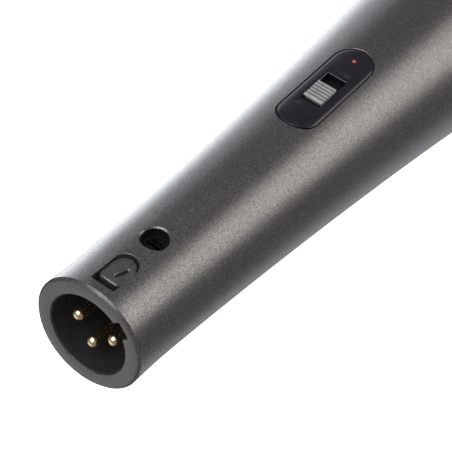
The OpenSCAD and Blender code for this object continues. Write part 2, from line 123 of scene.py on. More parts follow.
# The grille's wire: half its thickness, the pitch of the weave, and how far the middle of
# the weave lies inside the CAD shell
WIRE_R = 0.22
WIRE_PITCH = 1.35
WEAVE_DEPTH = 0.46


def body_r(x):
    """Radius of the handle at distance x from the tail face."""
    return TAIL_R + TAPER * x + FLARE * x * x + SWELL * max(0.0, 1 - x / SWELL_LEN) ** 2


def body_slope(x):
    return TAPER + 2 * FLARE * x - 2 * SWELL / SWELL_LEN * max(0.0, 1 - x / SWELL_LEN)


def on_handle(x, y, lift=0.0):
    """Point over the handle's top side, lift above its surface."""
    radius = body_r(x)
    angle = math.asin(max(-1.0, min(1.0, y / radius)))
    out = Vector((-body_slope(x), math.sin(angle), math.cos(angle))).normalized()
    return Vector((x, radius * math.sin(angle), radius * math.cos(angle))) + lift * out


# ---------------------------------------------------------------- mesh helpers


def mesh_object(name, points, faces):
    """Mesh object from points in millimetres."""
    mesh = bpy.data.meshes.new(name)
    mesh.from_pydata([tuple(Vector(p) * MM) for p in points], [], faces)
    made = bpy.data.objects.new(name, mesh)
    bpy.context.collection.objects.link(made)
    return made


def face_outwards(made):
    cleaned = bmesh.new()
    cleaned.from_mesh(made.data)
    bmesh.ops.recalc_face_normals(cleaned, faces=cleaned.faces)
    cleaned.to_mesh(made.data)
    cleaned.free()


def shade(made, sharp_angle=32):
    """Smooth shading, with edges over sharp_angle degrees kept sharp."""
    limit = math.radians(sharp_angle)
    edited = bmesh.new()
    edited.from_mesh(made.data)
    for face in edited.faces:
        face.smooth = True
    for edge in edited.edges:
        edge.smooth = len(edge.link_faces) == 2 and edge.calc_face_angle(0) < limit
    edited.to_mesh(made.data)
    edited.free()


def bake_modifiers(made):
    """Replaces the mesh of made by its shape with all modifiers applied."""
    shape = bpy.data.meshes.new_from_object(
        made.evaluated_get(bpy.context.evaluated_depsgraph_get())
    )
    made.modifiers.clear()
    made.data = shape


def carve(made, cutters):
    """Cuts each cutter out of made."""
    for cutter in cutters:
        cut = made.modifiers.new("cut", "BOOLEAN")
        cut.operation = "DIFFERENCE"
        cut.solver = "EXACT"
        cut.object = cutter
    bpy.context.view_layer.update()
    bake_modifiers(made)
    for cutter in cutters:
        bpy.data.objects.remove(cutter)


def revolve(name, profile, segments, centre=(0, 0)):
    """Solid of revolution about an axis along X. profile is a closed list of (x, radius)."""
    points, rings = [], []
    for x, radius in profile:
        if radius < 1e-6:
            rings.append([len(points)] * segments)
            points.append((x, centre[0], centre[1]))
            continue
        rings.append(list(range(len(points), len(points) + segments)))
        for k in range(segments):
            angle = 2 * math.pi * k / segments
            y = centre[0] + radius * math.sin(angle)
            z = centre[1] + radius * math.cos(angle)
            points.append((x, y, z))
    faces = []
    for one, two in zip(rings, rings[1:] + rings[:1]):
        for k in range(segments):
            j = (k + 1) % segments
            corners = []
            for index in (one[k], one[j], two[j], two[k]):
                if index not in corners:
                    corners.append(index)
            if len(corners) > 2:
                faces.append(corners)
    made = mesh_object(name, points, faces)
    face_outwards(made)
    return made


def rounded(profile, radius, steps=4):
    """The closed profile with each sharp corner off the axis replaced by a small arc."""
    result = []
    count = len(profile)
    for i, corner in enumerate(profile):
        here = Vector(corner)
        before = Vector(profile[i - 1]) - here
        after = Vector(profile[(i + 1) % count]) - here
        if here.y < 1e-6 or before.length < 1e-6 or after.length < 1e-6:
            result.append(tuple(here))
            continue
        turn = math.pi - before.angle(after)
        cut = min(radius, before.length * 0.45, after.length * 0.45)
        if turn < math.radians(25):
            result.append(tuple(here))
            continue
        start, end = here + before.normalized() * cut, here + after.normalized() * cut
        for s in range(steps + 1):
            t = s / steps
            point = start * (1 - t) ** 2 + here * 2 * t * (1 - t) + end * t * t
            result.append((point.x, point.y))
    return result


def quads_between(rings, count):
    """Faces between rings of count points each, numbered one ring after another."""
    faces = []
    for ring in range(rings - 1):
        for k in range(count):
            j = (k + 1) % count
            base = ring * count
            faces.append((base + k, base + j, base + count + j, base + count + k))
    return faces


def loft_on_handle(name, outline, levels):
    """Closed solid over the handle. outline(grow) gives (x, y) points; levels are (lift, grow)."""
    points = []
    for lift, grow in levels:
        points += [on_handle(x, y, lift) for x, y in outline(grow)]
    count = len(points) // len(levels)
    faces = quads_between(len(levels), count)
    for level in (0, len(levels) - 1):
        ring = outline(levels[level][1])
        middle = on_handle(
            sum(x for x, _ in ring) / count, sum(y for _, y in ring) / count, levels[level][0]
        )
        points.append(middle)
        for k in range(count):
            faces.append((level * count + k, level * count + (k + 1) % count, len(points) - 1))
    made = mesh_object(name, points, faces)
    face_outwards(made)
    return made


# ---------------------------------------------------------------- outlines on the handle


def stadium(centre, length, width):
    """Outline with straight sides along X and two round ends, wider all round by grow."""
    steps = 20

    def outline(grow):
        radius = width / 2 + grow
        half = (length - width) / 2
        points = []
        for side in (1, -1):
            for i in range(steps + 1):
                angle = side * math.pi / 2 - math.pi * i / steps
                points.append((
                    centre + side * half + radius * math.cos(angle),
                    radius * math.sin(angle),
                ))
        return points

    return outline


def circle(centre, radius, steps):
    def outline(grow):
        angles = [2 * math.pi * i / steps for i in range(steps)]
        return [
            (centre + (radius + grow) * math.cos(a), (radius + grow) * math.sin(a)) for a in angles
        ]

    return outline


def tombstone(start, end, width, corner=0.25):
    """Outline that is straight towards the tail and round towards the head."""
    steps = 20

    def outline(grow):
        half = width / 2 + grow
        centre = end - width / 2
        points = []
        for i in range(steps + 1):
            angle = math.pi / 2 - math.pi * i / steps
            points.append((centre + half * math.cos(angle), half * math.sin(angle)))
        for side in (-1, 1):
            for i in range(5):
                angle = side * math.pi / 2 * (i / 4 if side > 0 else 1 - i / 4)
                points.append((
                    start - grow + corner - corner * math.cos(angle),
                    side * (half - corner) + corner * math.sin(angle),
                ))
        return points

    return outline


def rounded_box(centre, length, width, corner, turn=0.0, offset=0.0):
    """Rectangle with rounded corners, turned by an angle and moved sideways by offset."""

    def outline(grow):
        half_x, half_y = length / 2 + grow, width / 2 + grow
        points = []
        for quarter in range(4):
            sign_x = 1 if quarter in (0, 3) else -1
            sign_y = 1 if quarter in (0, 1) else -1
            for i in range(5):
                angle = math.pi / 2 * (quarter + i / 4)
                x = sign_x * (half_x - corner) + corner * math.cos(angle)
                y = sign_y * (half_y - corner) + corner * math.sin(angle)
                points.append((
                    centre + x * math.cos(turn) - y * math.sin(turn),
                    offset + x * math.sin(turn) + y * math.cos(turn),
                ))
        return points

    return outline


# ---------------------------------------------------------------- materials


class Nodes:
    """A new node material, with short ways to add and join its nodes."""

    def __init__(self, name):
        self.material = bpy.data.materials.new(name)
        self.material.use_nodes = True
        self.tree = self.material.node_tree
        self.shader = self.tree.nodes["Principled BSDF"]
        self.place = self.add("ShaderNodeTexCoord").outputs["Object"]

    def add(self, kind, **settings):
        node = self.tree.nodes.new(kind)
        for key, value in settings.items():
            setattr(node, key, value)
        return node

    def join(self, output, target):
        self.tree.links.new(output, target)

    def set(self, **values):
        for key, value in values.items():
            socket = self.shader.inputs[key.replace("_", " ")]
            socket.default_value = (*value, 1) if isinstance(value, tuple) else value

    def noise(self, scale, detail=2.0, roughness=0.5, place=None):
        node = self.add("ShaderNodeTexNoise")
        node.inputs["Scale"].default_value = scale
        node.inputs["Detail"].default_value = detail
        node.inputs["Roughness"].default_value = roughness
        self.join(place or self.place, node.inputs["Vector"])
        return node.outputs["Fac"]

    def stretched(self, factors):
        node = self.add("ShaderNodeMapping")
        node.inputs["Scale"].default_value = factors
        self.join(self.place, node.inputs["Vector"])
        return node.outputs["Vector"]

    def cells(self, scale):
        node = self.add("ShaderNodeTexVoronoi")
        node.inputs["Scale"].default_value = scale
        self.join(self.place, node.inputs["Vector"])
        return node

    def remap(self, value, low_in, high_in, low_out, high_out):
        node = self.add("ShaderNodeMapRange")
        for key, number in zip(
            ("From Min", "From Max", "To Min", "To Max"), (low_in, high_in, low_out, high_out)
        ):
            node.inputs[key].default_value = number
        self.join(value, node.inputs["Value"])
        return node.outputs["Result"]

    def shades(self, value, stops):
        """Colour ramp from (position, colour) stops."""
        node = self.add("ShaderNodeValToRGB")
        ramp = node.color_ramp.elements
        while len(ramp) < len(stops):
            ramp.new(0.5)
        for element, (position, colour) in zip(ramp, stops):
            element.position = position
            element.color = (*colour, 1)
        self.join(value, node.inputs["Fac"])
        return node.outputs["Color"]

    def bump(self, height, distance, strength):
        node = self.add("ShaderNodeBump")
        node.inputs["Strength"].default_value = strength
        node.inputs["Distance"].default_value = distance * MM
        self.join(height, node.inputs["Height"])
        self.join(node.outputs["Normal"], self.shader.inputs["Normal"])


def grey(level):
    return (level, level, level)


def metal_flake_paint(name):
    """Satin charcoal paint over a fine cast grain, with metal flake in it."""
    level = 0.072
    m = Nodes(name)
    m.set(Metallic=0.75, Coat_Weight=0.08, Coat_Roughness=0.3)
    grain = m.noise(6500, detail=2, roughness=0.6)
    m.join(
        m.shades(grain, [
            (0.36, grey(level * 0.4)), (0.5, grey(level)), (0.64, grey(level * 2.2)),
        ]),
        m.shader.inputs["Base Color"],
    )
    m.join(m.remap(m.noise(2600, detail=2), 0.3, 0.7, 0.28, 0.37), m.shader.inputs["Roughness"])
    m.bump(grain, 0.03, 0.5)
    return m.material


def moulded_plastic(name, colour, roughness=0.45, grain=0.01, scale=2500, shine=0.5):
    """Plastic with a fine spark-eroded grain and slight unevenness."""
    m = Nodes(name)
    m.set(Specular_IOR_Level=shine)
    spread = m.noise(600, detail=4)
    darker = tuple(c * 0.8 for c in colour)
    lighter = tuple(min(1.0, c * 1.2) for c in colour)
    m.join(m.shades(spread, [(0.3, darker), (0.7, lighter)]), m.shader.inputs["Base Color"])
    m.join(
        m.remap(m.noise(900), 0.3, 0.7, roughness * 0.85, roughness * 1.15),
        m.shader.inputs["Roughness"],
    )
    m.bump(m.noise(scale, detail=3), grain, 0.5)
    return m.material


def plated_metal(name, colour, roughness=0.22, stretch=(1, 1, 1), wear=0.15):
    """Plated or drawn metal with fine tool marks."""
    m = Nodes(name)
    m.set(Metallic=1.0)
    marks = m.noise(3000, detail=4, place=m.stretched(stretch))
    darker = tuple(c * (1 - wear) for c in colour)
    m.join(m.shades(marks, [(0.3, darker), (0.65, colour)]), m.shader.inputs["Base Color"])
    m.join(
        m.remap(marks, 0.3, 0.7, roughness * 0.7, roughness * 1.4), m.shader.inputs["Roughness"]
    )
    m.bump(marks, 0.004, 0.4)
    return m.material


def soft_rubber(name, colour):
    m = Nodes(name)
    m.set(Sheen_Weight=0.15)
    dust = m.noise(500, detail=6, roughness=0.7)
    m.join(
        m.shades(dust, [(0.35, colour), (0.75, tuple(c * 1.8 for c in colour))]),
        m.shader.inputs["Base Color"],
    )
    m.join(m.remap(dust, 0.3, 0.7, 0.7, 0.88), m.shader.inputs["Roughness"])
    m.bump(m.noise(3500), 0.02, 0.5)
    return m.material


def open_foam(name, colour):
    """Foam: dark pores between lighter cell walls; the pores' darkness is painted shade."""
    m = Nodes(name)
    m.set(Roughness=0.95)
    pores = m.cells(1600).outputs["Distance"]
    # Darker towards the middle of each pore: painted shade in the pores.
    m.join(
        m.shades(pores, [(0.1, tuple(c * 0.3 for c in colour)), (0.55, colour)]),
        m.shader.inputs["Base Color"],
    )
    m.bump(pores, 0.25, 0.8)
    return m.material


def woven_cloth(name, colour):
    m = Nodes(name)
    m.set(Roughness=0.9, Sheen_Weight=0.3)
    weave = m.add("ShaderNodeTexChecker")
    weave.inputs["Scale"].default_value = 3300
    m.join(m.place, weave.inputs["Vector"])
    m.join(
        m.shades(weave.outputs["Fac"], [(0.0, tuple(c * 0.5 for c in colour)), (1.0, colour)]),
        m.shader.inputs["Base Color"],
    )
    m.bump(weave.outputs["Fac"], 0.05, 0.5)
    return m.material


def clear_lens(name, colour):
    m = Nodes(name)
    m.set(Coat_Weight=1.0, Coat_Roughness=0.12, Roughness=0.2)
    depth = m.noise(1500, detail=1)
    m.join(
        m.shades(depth, [(0.3, tuple(c * 0.7 for c in colour)), (0.7, colour)]),
        m.shader.inputs["Base Color"],
    )
    return m.material


BLACK = (0.012, 0.012, 0.014)
LOOKS = {
    "cast_metal": metal_flake_paint("cast_metal"),
    "black_plastic": moulded_plastic("black_plastic", BLACK, 0.55, shine=0.2),
    # Near-black dull plastic used as painted shade: inside the screw hole, and on the switch shield
    # seen through the slot.
    "painted_shade_black": moulded_plastic("painted_shade_black", (0.004, 0.004, 0.005), 0.8, shine=0.08),
    "gloss_black": moulded_plastic("gloss_black", (0.005, 0.005, 0.008), 0.24, 0.003, 700, 0.42),
    "grey_plastic": moulded_plastic("grey_plastic", (0.165, 0.173, 0.17), 0.45, 0.01),
    "gold_contact": plated_metal("gold_contact", (0.93, 0.78, 0.47), 0.2),
    "plain_steel": plated_metal("plain_steel", (0.55, 0.55, 0.57), 0.3, (0.1, 1, 1)),
    "dark_steel": plated_metal("dark_steel", (0.02, 0.02, 0.022), 0.35),
    "mesh_steel": plated_metal("mesh_steel", (0.2, 0.2, 0.21), 0.4, wear=0.3),
    "red_plastic": clear_lens("red_plastic", (0.4, 0.03, 0.02)),
    "phenolic": moulded_plastic("phenolic", (0.14, 0.06, 0.022), 0.55, 0.02, 1200),
    "rubber": soft_rubber("rubber", (0.02, 0.02, 0.021)),
    "red_wire": moulded_plastic("red_wire", (0.45, 0.02, 0.015), 0.4),
    "black_wire": moulded_plastic("black_wire", (0.015, 0.015, 0.015), 0.4),
    "magnet": plated_metal("magnet", (0.3, 0.3, 0.32), 0.28, (1, 0.1, 1)),
    "copper": plated_metal("copper", (0.75, 0.32, 0.14), 0.3, (12, 0.5, 0.5), wear=0.4),
    "film": clear_lens("film", (0.6, 0.55, 0.4)),
    "cloth": woven_cloth("cloth", (0.03, 0.03, 0.03)),
    "foam": open_foam("foam", (0.03, 0.03, 0.033)),
}
SLOT_OF = {part["node"]: part["material_slot"] for part in frame["record"]["subparts"]}
BODY_OF = {
    node: body for body, nodes in frame["record"]["behaviour"]["bodies"].items() for node in nodes
}


def dress(made, slot):
    made.data.materials.clear()
    made.data.materials.append(LOOKS[slot])


def stand_for(made, node, look=None, sharp_angle=32):
    """The piece made takes the place, the body and the material slot of a CAD node."""
    shade(made, sharp_angle)
    dress(made, look or SLOT_OF[node])
    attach(made, BODY_OF[node])
    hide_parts(node)


# ---------------------------------------------------------------- handle


def keyway_cutter():
    """Bar with rounded outer corners that cuts the keyway along the mouth of the socket."""
    half, corner = KEYWAY_W / 2, 0.4
    section = [(-half, MOUTH_R - 1)]
    for side in (-1, 1):
        for i in range(5):
            angle = math.pi / 2 * (i / 4 if side < 0 else 1 - i / 4)
            section.append((
                side * (half - corner + corner * math.cos(angle)),
                KEYWAY_R - corner + corner * math.sin(angle),
            ))
    section.append((half, MOUTH_R - 1))
    turn = Matrix.Rotation(KEYWAY_ANGLE, 3, "X")
    count = len(section)
    points = [turn @ Vector((x, y, z)) for x in (-1, KEYWAY_DEPTH) for y, z in section]
    faces = [(k, (k + 1) % count, count + (k + 1) % count, count + k) for k in range(count)]
    faces += [tuple(range(count)), tuple(range(count, 2 * count))]
    made = mesh_object("keyway_cutter", points, faces)
    face_outwards(made)
    return made


def handle_profile():
    """Closed outline of the handle's wall as (x, radius) points."""
    face_r = 10.96
    shoulder, chamfer = 0.3, 0.4
    count = 76
    points = [
        (0.22, MOUTH_R), (0.06, MOUTH_R + 0.06), (0.0, MOUTH_R + 0.22), (0.0, face_r - 0.04),
        (0.03, face_r + 0.02), (BEVEL_DEPTH - 0.03, body_r(BEVEL_DEPTH) - 0.05),
    ]
    step = (NECK_X - shoulder - BEVEL_DEPTH) / count
    points += [(x, body_r(x)) for x in (BEVEL_DEPTH + step * i for i in range(count + 1))]
    spigot_end, bore_x = high("handle").x, NECK_X - 4
    points += [
        (NECK_X, body_r(NECK_X) - shoulder), (NECK_X, SPIGOT_R),
        (spigot_end - chamfer, SPIGOT_R), (spigot_end, SPIGOT_R - chamfer),
        (spigot_end, SPIGOT_BORE_R), (bore_x, SPIGOT_BORE_R),
    ]
    hollow_x, steps = 30.0, 14
    for i in range(steps, -1, -1):
        x = hollow_x + (bore_x - hollow_x) * i / steps
        points.append((x, body_r(x) - WALL))
    bed_x, bed_r = 24.0, INSERT_R + 0.1
    points += [(bed_x, bed_r), (MOUTH_DEPTH, bed_r), (MOUTH_DEPTH, MOUTH_R)]
    return points


def make_handle():
    handle = revolve("handle_shell", handle_profile(), segments=192)
    edge, gap = 0.06, 0.5
    pocket = stadium(SWITCH_X, PLATE_LEN + gap, PLATE_W + gap)
    window = stadium(SWITCH_X, 24.4, 6.6)
    latch = tombstone(LATCH_X, LATCH_X + LATCH_LEN, LATCH_W)
    hole = circle(SCREW_X, SCREW_HOLE_R, 96)
    screw_pass = circle(SCREW_X, SCREW_PASS_R, 96)
    carve(handle, [
        keyway_cutter(),
        loft_on_handle("latch_cut", latch, [(1, 1.05), (0, 0.05), (-0.05, 0), (-4, 0)]),
        loft_on_handle("hole_cut", hole, [(1, 1.25), (0, 0.25), (-0.25, 0), (-1.92, 0)]),
        loft_on_handle("pass_cut", screw_pass, [(0.5, 0), (-4, 0)]),
        loft_on_handle("pocket_cut", pocket, [(1, edge + 1), (0, edge), (-edge, 0), (-1.3, 0)]),
        loft_on_handle("window_cut", window, [(0.5, 0), (-4, 0)]),
    ])
    stand_for(handle, "handle", sharp_angle=28)
    true_normals(handle)
    paint_hole_shade(handle)


def paint_hole_shade(handle):
    """Painted shade: the screw hole's walls more than 0.3 mm below the surface get near-black
    matte, standing for the shade inside the hole.
    """
    handle.data.materials.append(LOOKS["painted_shade_black"])
    for face in handle.data.polygons:
        x, y, z = face.center / MM
        # Faces deeper than 0.3 mm inside the hole take the painted shade.
        deep = math.hypot(y, z) < body_r(x) - 0.3
        if z > 0 and deep and math.hypot(x - SCREW_X, y) < SCREW_HOLE_R + 0.05:
            face.material_index = 1


def true_normals(handle):
    """Gives the faces on the tapered outside the exact normals of the taper."""
    mesh = handle.data
    mesh.update()
    normals = [Vector(n.vector) for n in mesh.corner_normals]
    for face in mesh.polygons:
        for loop in face.loop_indices:
            point = mesh.vertices[mesh.loops[loop].vertex_index].co / MM
            radius = math.hypot(point.y, point.z)
            if point.x < BEVEL_DEPTH - 0.01 or abs(radius - body_r(point.x)) > 0.02:
                continue
            exact = Vector((-body_slope(point.x), point.y / radius, point.z / radius)).normalized()
            if face.normal.dot(exact) > math.cos(math.radians(12)):
                normals[loop] = exact
    mesh.normals_split_custom_set(normals)


# ---------------------------------------------------------------- cable socket


def make_insert():
    insert = revolve("socket_insert", rounded([
        (0.25, LINING_R), (0.25, MOUTH_R - 0.02), (MOUTH_DEPTH + 0.02, MOUTH_R - 0.02),
        (MOUTH_DEPTH + 0.02, INSERT_R), (INSERT_END, INSERT_R),
        (INSERT_END, 0), (SOCKET_DEPTH, 0), (SOCKET_DEPTH, LINING_R),
    ], 0.2), segments=128)
    boss = revolve("screw_cut", [(-4, 0), (-4, SCREW_R), (4, SCREW_R), (4, 0)], segments=32)
    boss.data.transform(
        Matrix.Translation(Vector((SCREW_X, 0, low("locking_screw").z + 3.6)) * MM)
        @ Matrix.Rotation(math.pi / 2, 4, "Y")
    )
    carve(insert, [keyway_cutter(), boss])
    stand_for(insert, "xlr_insert")


def make_pins():
    for node in ("contact_pin_1", "contact_pin_2", "contact_pin_3"):
        bottom, top = low(node), high(node)
        centre = ((bottom.y + top.y) / 2, (bottom.z + top.z) / 2)
        shoulder, cup, cup_depth = (top.y - bottom.y) / 2, 1.3, 3
        tip = [
            (bottom.x + PIN_R * (1 - math.cos(a)), PIN_R * math.sin(a))
            for a in (math.pi / 2 * i / 10 for i in range(11))
        ]
        pin = revolve("pin_" + node[-1], tip + [
            (SOCKET_DEPTH, PIN_R), (SOCKET_DEPTH, shoulder), (20, shoulder), (20, PIN_R),
            (21.5, PIN_R), (21.5, cup), (top.x - 0.1, cup), (top.x, cup - 0.1), (top.x, 0.8),
            (top.x - cup_depth, 0.75), (top.x - cup_depth, 0),
        ], segments=48, centre=centre)
        stand_for(pin, node)


def make_latch_tab():
    """Tab lying below the surface, with rounded edges and a slanted slot."""
    outline = tombstone(LATCH_X + 1.65, LATCH_X + LATCH_LEN - 0.42, LATCH_W - 0.3, corner=0.8)
    top = TAB_TOP
    tab = loft_on_handle("latch_tab_face", outline, [
        (top, -1.5), (top, -0.9), (top, -0.45), (top, -0.2), (top - 0.04, -0.08),
        (top - 0.14, -0.02), (top - 0.3, 0), (-1.72, 0),
    ])
    slot = rounded_box(6.9, 2.8, 0.72, corner=0.33, turn=math.radians(-18), offset=-0.8)
    carve(tab, [loft_on_handle(
        "slot_cut", slot, [(top + 0.4, 0.56), (top, 0.16), (top - 0.16, 0), (top - 0.9, 0)]
    )])
    stand_for(tab, "latch_tab", sharp_angle=40)


def make_locking_screw():
    top, bottom = high("locking_screw").z, low("locking_screw").z
    screw = revolve("locking_screw_head", rounded([
        (-top, 0), (-top, SCREW_R), (-bottom, SCREW_R), (-bottom, 0),
    ], 0.25), segments=48)
    screw.data.transform(Matrix.Rotation(math.pi / 2, 4, "Y"))
    screw.data.transform(Matrix.Translation(Vector((SCREW_X, 0, 0)) * MM))
    half, deep = 0.3, 0.7
    corners = [
        (SCREW_X + x, y, z)
        for x in (-half, half) for y in (-4, 4) for z in (top - deep, top + 1)
    ]
    faces = [(0, 1, 3, 2), (4, 6, 7, 5), (0, 4, 5, 1), (2, 3, 7, 6), (0, 2, 6, 4), (1, 5, 7, 3)]
    slot = mesh_object("slot_cutter", corners, faces)
    face_outwards(slot)
    carve(screw, [slot])
    stand_for(screw, "locking_screw")


# ---------------------------------------------------------------- switch


def plate_lift(x, y):
    """Height of the switch plate's face over the handle's surface."""
    drop, edge_w, edge_h = 0.05, 0.55, 0.065
    half = (PLATE_LEN - PLATE_W) / 2
    along = max(abs(x - SWITCH_X) - half, 0.0)
    inside = PLATE_W / 2 - math.hypot(along, y)
    rim = max(0.0, 1 - inside / edge_w)
    dish_deep, dish_slope = 0.16, 1.3
    dish_x = abs(x - SLOT_X) - (SLOT_LEN / 2 + 1.4)
    dish_y = abs(y) - (SLOT_W / 2 + 0.1)
    away = math.hypot(max(dish_x, 0), max(dish_y, 0)) + min(max(dish_x, dish_y), 0)
    t = min(max(0.5 - away / dish_slope, 0.0), 1.0)
    dish = dish_deep * t * t * (3 - 2 * t)
    return -drop - edge_h * (rim + rim ** 8) - dish


def make_switch_plate():
    """Plate with a rounded edge and a shallow dish around the slot."""
    steps, underside = 48, 1.2
    insets = [0.09, 0.1, 0.13, 0.18, 0.26, 0.36, 0.46, 0.53, 0.56, 0.6, 0.7]
    while insets[-1] < PLATE_W / 2 - 0.15:
        insets.append(insets[-1] + 0.16)
    outline = dense_stadium(steps)
    points = [on_handle(x, y, -underside) for x, y in outline(-insets[0])]
    count = len(points)
    for inset in insets:
        points += [on_handle(x, y, plate_lift(x, y)) for x, y in outline(-inset)]
    faces = quads_between(len(insets) + 1, count)
    # The innermost ring and the underside are closed by rows across the plate
    for base in (len(insets) * count, 0):
        for k in range(count // 2 - 1):
            faces.append((base + k, base + k + 1, base + count - 2 - k, base + count - 1 - k))
    plate = mesh_object("switch_plate_face", points, faces)
    face_outwards(plate)
    slot = rounded_box(SLOT_X, SLOT_LEN, SLOT_W, corner=0.2)
    marker = circle(MARKER_X, 0.45, 24)
    carve(plate, [
        loft_on_handle("slot_cut", slot, [(1, 0.06), (-0.24, 0.06), (-0.32, 0), (-2, 0)]),
        loft_on_handle("marker_cut", marker, [(1, 0), (-1, 0)]),
    ])
    stand_for(plate, "switch_plate", sharp_angle=30)


def dense_stadium(steps):
    """Stadium outline of the plate with points along its straight sides too."""

    def outline(grow):
        radius = PLATE_W / 2 + grow
        half = (PLATE_LEN - PLATE_W) / 2
        right = []
        for i in range(steps // 2 + 1):
            angle = math.pi / 2 * i / (steps // 2)
            right.append((half + radius * math.sin(angle), -radius * math.cos(angle)))
        straight = [(-half + 2 * half * i / steps, -radius) for i in range(1, steps)]
        lower = [(-x, y) for x, y in reversed(right)] + straight + right
        upper = [(x, -y) for x, y in reversed(lower)]
        return [(SWITCH_X + x, y) for x, y in lower[:-1] + upper[:-1]]

    return outline


def make_marker():
    lens = loft_on_handle("switch_marker_lens", circle(MARKER_X, 0.43, 32), [
        (-1, 0), (-0.1, 0), (-0.03, -0.05), (0.02, -0.13), (0.05, -0.22), (0.06, -0.32),
    ])
    stand_for(lens, "switch_marker", sharp_angle=60)


def at_switch(point):
    """Point in the switch's own frame, moved onto the handle."""
    slope = math.atan(body_slope(SWITCH_X))
    x, y, z = point
    return (
        SWITCH_X + x * math.cos(slope) - z * math.sin(slope),
        y,
        body_r(SWITCH_X) + x * math.sin(slope) + z * math.cos(slope),
    )


def make_knob():
    """Knob with flat-topped ridges that overhang the grooves between them."""
    pitch = KNOB_LEN / KNOB_RIDGES
    start, top, foot, groove = 0.6 - SLOT_TAIL, 0.26, -1.45, 0.5
    profile = [(start + 0.9, foot), (start + 0.9, top - 0.6)]
    for i in range(KNOB_RIDGES):
        x = start + i * pitch
        if i:
            profile += [(x, top - groove), (x + 0.4, top - groove), (x + 0.25, top - 0.14)]
        else:
            profile += [(x + 0.1, top - 0.42), (x + 0.03, top - 0.26), (x + 0.1, top - 0.13)]
        profile += [(x + 0.27, top - 0.05), (x + 0.34, top), (x + 0.7, top), (x + 0.82, top - 0.06)]
    profile += [(start + KNOB_LEN, top - 0.2), (start + KNOB_LEN, foot)]
    half = KNOB_W / 2
    points, faces = [], []
    slices = [(-half, 0.14), (-half + 0.05, 0.05), (-half + 0.15, 0.0), (half - 0.15, 0.0),
              (half - 0.05, 0.05), (half, 0.14)]
    for y, drop in slices:
        points += [at_switch((x, y, z - (drop if z > foot else 0))) for x, z in profile]
    count = len(profile)
    for s in range(len(slices) - 1):
        for k in range(count):
            j = (k + 1) % count
            faces.append((s * count + k, s * count + j, (s + 1) * count + j, (s + 1) * count + k))
    faces.append(tuple(range(count)))
    faces.append(tuple(range((len(slices) - 1) * count, len(slices) * count)))
    knob = mesh_object("switch_knob_ridged", points, faces)
    face_outwards(knob)
    stand_for(knob, "switch_knob", sharp_angle=50)


# ---------------------------------------------------------------- grille


def woven_mesh(name, centre, height, radius, pole, inner):
    """Woven wire pressed from a flat sheet over a dome of the given height and radius.

    pole is +1 or -1 along X. The wire covers the angles from inner to a right angle off it.
    """
    points, faces = [], []
    sides = 5
    outer = math.pi / 2
    amplitude = WIRE_R * 0.95
    count = int(radius * outer / WIRE_PITCH)
    half_steps = int(2 * radius * outer / WIRE_PITCH) + 2

    def on_dome(u, v, lift):
        flat = math.hypot(u, v)
        angle = flat / radius
        across = (u / flat, v / flat) if flat > 1e-9 else (0.0, 0.0)
        spot = Vector((
            centre + pole * height * math.cos(angle),
            radius * math.sin(angle) * across[0],
            radius * math.sin(angle) * across[1],
        ))
        out = Vector((
            pole * math.cos(angle) / height,
            math.sin(angle) / radius * across[0],
            math.sin(angle) / radius * across[1],
        )).normalized()
        return spot + lift * out, out

    def strand(samples):
        """Adds one wire through (point, normal) samples."""
        if len(samples) < 3:
            return
        first = len(points)
        for i, (spot, out) in enumerate(samples):
            ahead = samples[min(i + 1, len(samples) - 1)][0] - samples[max(i - 1, 0)][0]
            side = ahead.cross(out).normalized()
            up = side.cross(ahead).normalized()
            for k in range(sides):
                angle = 2 * math.pi * k / sides
                points.append(spot + WIRE_R * (math.cos(angle) * side + math.sin(angle) * up))
        for i in range(len(samples) - 1):
            for k in range(sides):
                j = (k + 1) % sides
                base = first + i * sides
                faces.append((base + k, base + j, base + sides + j, base + sides + k))
        faces.append(tuple(range(first, first + sides)))
        faces.append(tuple(range(len(points) - sides, len(points))))

    for family in (0, 1):
        for i in range(-count, count + 1):
            run = []
            for s in range(-half_steps, half_steps + 1):
                fixed, along = i * WIRE_PITCH, s * WIRE_PITCH / 2
                angle = math.hypot(fixed, along) / radius
                if not inner <= angle <= outer:
                    strand(run)
                    run = []
                    continue
                crossing = 0.0 if s % 2 else (-1.0) ** (i + s // 2 + family)
                u, v = (fixed, along) if family == 0 else (along, fixed)
                run.append(on_dome(u, v, crossing * amplitude))
            strand(run)
    return mesh_object(name, points, faces)


def make_grille():
    weave_r, tuck = BALL_R - WEAVE_DEPTH, 0.4
    upper = woven_mesh(
        "grille_upper_weave", DOME_X - tuck, DOME_H - WEAVE_DEPTH + tuck, weave_r, 1, 0.0
    )
    stand_for(upper, "grille_upper", sharp_angle=80)
    foot_angle = math.acos((BALL_X - low("grille_lower").x) / BALL_R) - 0.01
    lower = woven_mesh("grille_lower_weave", BALL_X, weave_r, weave_r, -1, foot_angle)
    stand_for(lower, "grille_lower", sharp_angle=80)
    band_end, proud = high("grille_band").x, high("grille_band").y
    band = revolve("grille_band_ring", rounded([
        (BAND_X, BALL_R - 0.15), (BAND_X, BALL_R + 0.1), (BAND_X + BAND_EDGE, proud),
        (band_end - BAND_EDGE, proud), (band_end, BALL_R + 0.1), (band_end, BALL_R - 0.15),
    ], 0.35, 5), segments=192)
    stand_for(band, "grille_band")
    collar_lo, collar_hi = low("grille_collar").x, high("grille_collar").x
    thread_gap = 0.08
    out_r, bore_r = body_r(NECK_X), SPIGOT_R + thread_gap
    collar = revolve("grille_collar_ring", rounded([
        (collar_lo, bore_r), (collar_lo, out_r), (collar_hi - 1.2, out_r + 0.9),
        (collar_hi - 0.4, out_r + 0.7), (collar_hi, out_r + 0.3), (collar_hi, bore_r),
    ], 0.3, 5), segments=192)
    stand_for(collar, "grille_collar")


